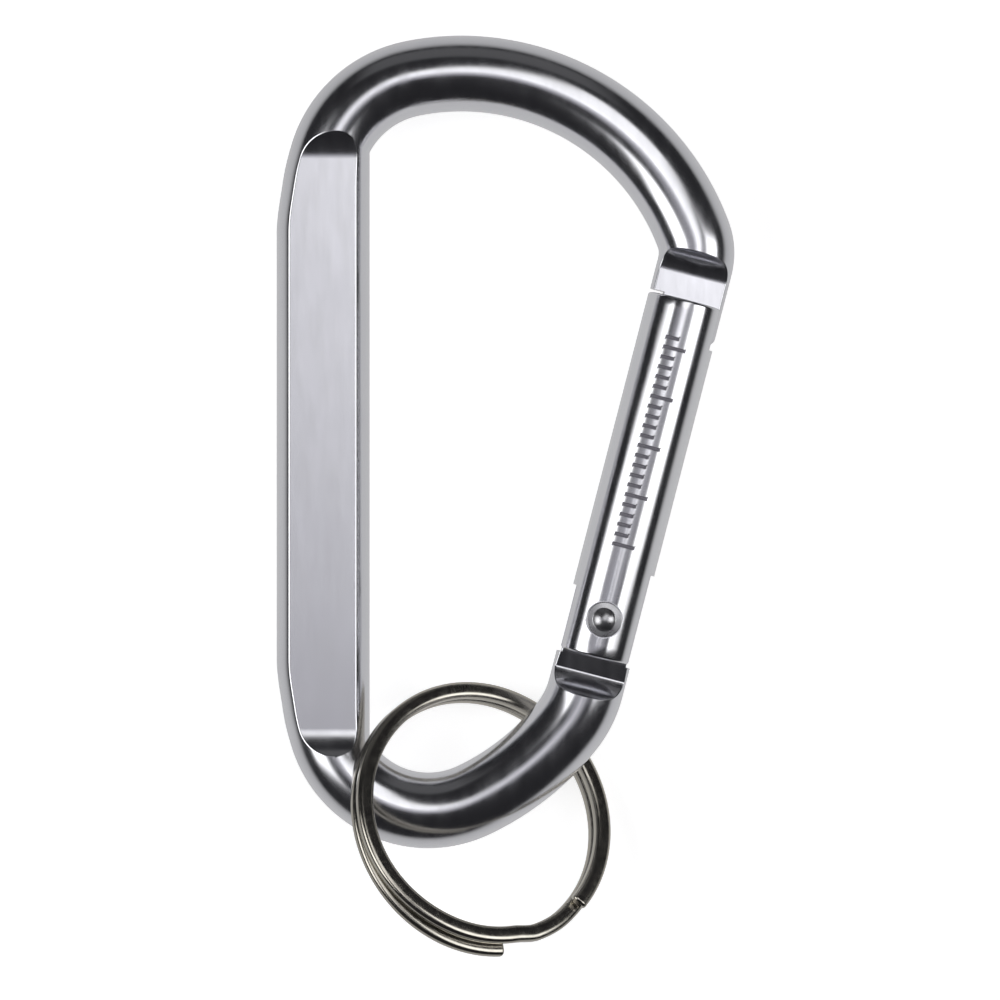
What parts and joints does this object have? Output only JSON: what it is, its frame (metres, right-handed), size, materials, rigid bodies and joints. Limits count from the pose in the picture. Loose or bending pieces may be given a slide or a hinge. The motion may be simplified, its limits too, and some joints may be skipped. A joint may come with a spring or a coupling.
{
  "type": "carabiner keyring",
  "caption": "D-shaped rod carabiner lying flat, with a pressed flat spine, a sprung gate on a rivet and a double-coil split key ring threaded on its lower bend.",
  "frame": {"origin": "middle of the whole part's footprint, at the height of its lowest point, which is the split ring's lower edge", "axes": "+Y runs up the spine towards the crown, +X points from the spine to the gate, +Z is square to the frame, up from the surface it lies on"},
  "size_m": [0.0452, 0.0908, 0.0162],
  "materials": {
    "rod_aluminium": "polished",
    "gate_aluminium": "polished, with a row of engraved scale marks",
    "rivet_steel": "set and lightly polished",
    "spring_steel": "drawn wire",
    "plunger_steel": "turned",
    "ring_nickel": "nickel plated"
  },
  "bodies": {
    "frame": {"frame": "rod_aluminium"},
    "gate": {"gate": "gate_aluminium", "hinge_rivet": "rivet_steel", "gate_spring": "spring_steel"},
    "plunger": {"spring_plunger": "plunger_steel"},
    "key_ring": {"split_ring": "ring_nickel"}
  },
  "joints": [
    {"name": "gate_hinge", "type": "hinge", "parent": "frame", "child": "gate", "pos_m": [0.00969, -0.0123, 0.00673], "axis": [0, 0, 1], "range_deg": [0, 52], "stiffness_Nm_per_rad": 0.02, "springref_deg": -57.3},
    {"name": "plunger_slide", "type": "slide", "parent": "gate", "child": "plunger", "axis": [0.2504, 0.9681, 0], "range_m": [0, 0.00075], "deforming": ["gate_spring"]},
    {"name": "ring_swivel", "type": "hinge", "parent": "frame", "child": "key_ring", "pos_m": [-0.00304, -0.03226, 0.00673], "axis": [-0.6428, 0.766, 0], "range_deg": [0, 116]}
  ],
  "couplings": [
    {"joint": "plunger_slide", "follows": "gate_hinge", "m_per_rad": 0.00082}
  ]
}
